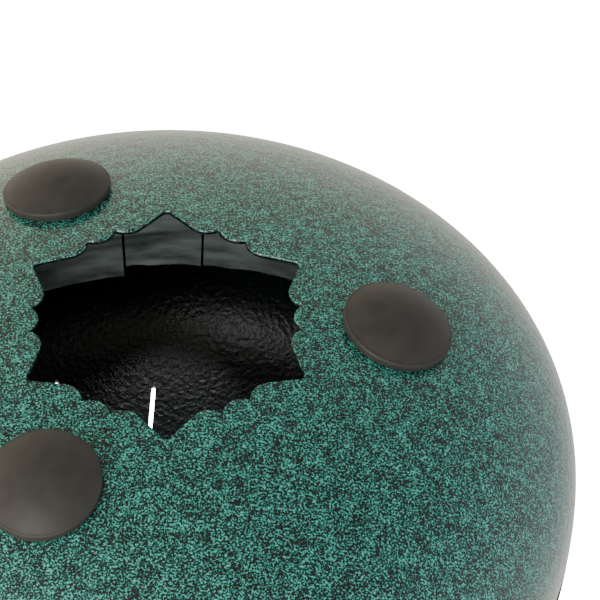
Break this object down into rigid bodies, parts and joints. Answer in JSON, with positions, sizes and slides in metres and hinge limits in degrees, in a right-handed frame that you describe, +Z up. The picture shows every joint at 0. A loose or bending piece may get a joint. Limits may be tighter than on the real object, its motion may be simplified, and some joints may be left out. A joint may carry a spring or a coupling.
{
  "type": "tongue drum",
  "caption": "Round steel tongue drum: two pressed domes welded at the waist, tuned tongues cut in the top, a star-shaped sound port below and round rubber feet.",
  "frame": {"origin": "on the floor, below the centre of the drum, as it stands on its feet", "axes": "+Z up, with the tongues on top; one foot points along -X and one tongue's axis lies 11.25 degrees from +X"},
  "size_m": [0.254, 0.254, 0.1524],
  "materials": {
    "shell_paint": "glossy teal hammer-finish powder coat with a fine black speckle, on pressed steel",
    "inside_paint": "black hammered paint",
    "seam_tape": "black vinyl tape, slightly wrinkled",
    "foot_rubber": "matte black moulded rubber",
    "foot_gum": "clear double-sided gum"
  },
  "bodies": {
    "root": {"top_shell": "shell_paint", "bottom_shell": "shell_paint", "seam_weld": "inside_paint", "seam_tape_left": "seam_tape", "seam_tape_patch": "seam_tape", "seam_tape_right": "seam_tape", "foot_1": "foot_rubber", "foot_2": "foot_rubber", "foot_3": "foot_rubber", "foot_pad_1": "foot_gum", "foot_pad_2": "foot_gum", "foot_pad_3": "foot_gum"}
  },
  "joints": []
}
